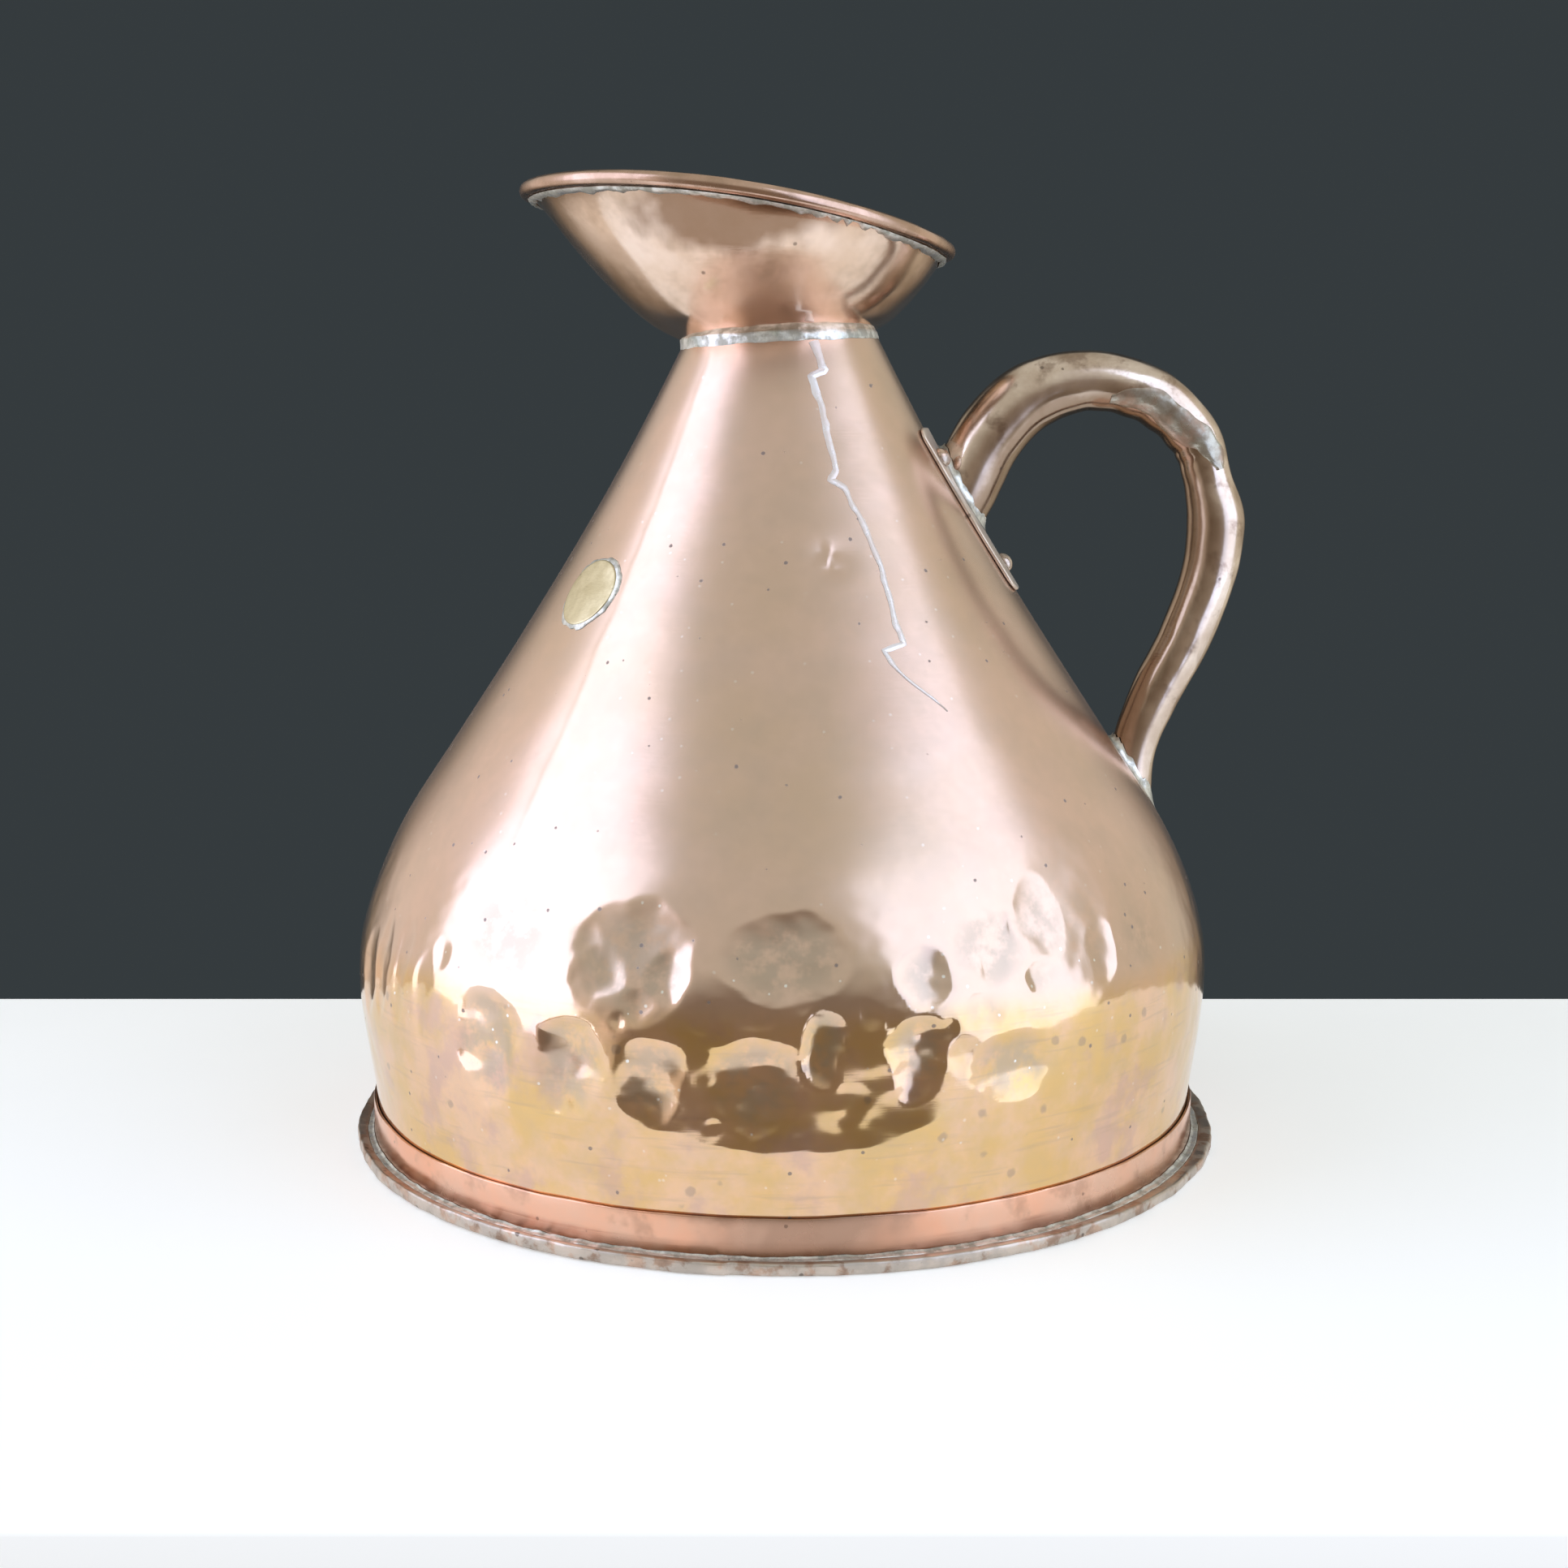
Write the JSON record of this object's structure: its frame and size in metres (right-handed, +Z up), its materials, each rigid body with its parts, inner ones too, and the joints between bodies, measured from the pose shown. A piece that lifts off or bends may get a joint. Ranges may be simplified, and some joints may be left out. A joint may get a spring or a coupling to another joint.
{
  "type": "copper measure jug",
  "caption": "Tall conical copper jug with a dented round belly, an oblique funnel mouth with a rolled rim, a riveted tube handle and a flat flanged base; holds and pours liquids.",
  "frame": {"origin": "centre of the flat base, on the surface that the jug stands on", "axes": "+Z up along the body's axis, +X towards the handle, -X towards the pouring lip, -Y the front"},
  "size_m": [0.3694, 0.3608, 0.3861],
  "materials": {
    "body_copper": "worn satin copper, pinkish brown, mirror-like and dented at the belly",
    "mouth_copper": "worn satin copper, tinned inside",
    "bead_copper": "bright rubbed copper",
    "band_copper": "orange-red copper with a dark seam",
    "base_copper": "dull brown copper with grey tinning at its edge",
    "handle_copper": "dark brown rubbed copper",
    "rivet_copper": "hammered copper, partly tinned",
    "disc_brass": "worn bare brass",
    "braze": "pale bright braze",
    "solder": "dull wiped tin solder",
    "iron_wire": "dark iron"
  },
  "bodies": {
    "root": {"body_shell": "body_copper", "body_seam_braze": "braze", "mouth_funnel": "mouth_copper", "rim_bead": "bead_copper", "rim_wire": "iron_wire", "rim_solder": "solder", "neck_solder": "solder", "base_plate": "base_copper", "foot_band": "band_copper", "foot_solder": "solder", "handle_tube": "handle_copper", "handle_seam_solder": "solder", "handle_plate": "body_copper", "rivet_upper_front": "rivet_copper", "rivet_upper_back": "rivet_copper", "rivet_lower": "rivet_copper", "handle_top_solder": "solder", "handle_foot_solder": "solder", "brass_disc": "disc_brass", "disc_solder": "solder"}
  },
  "joints": []
}
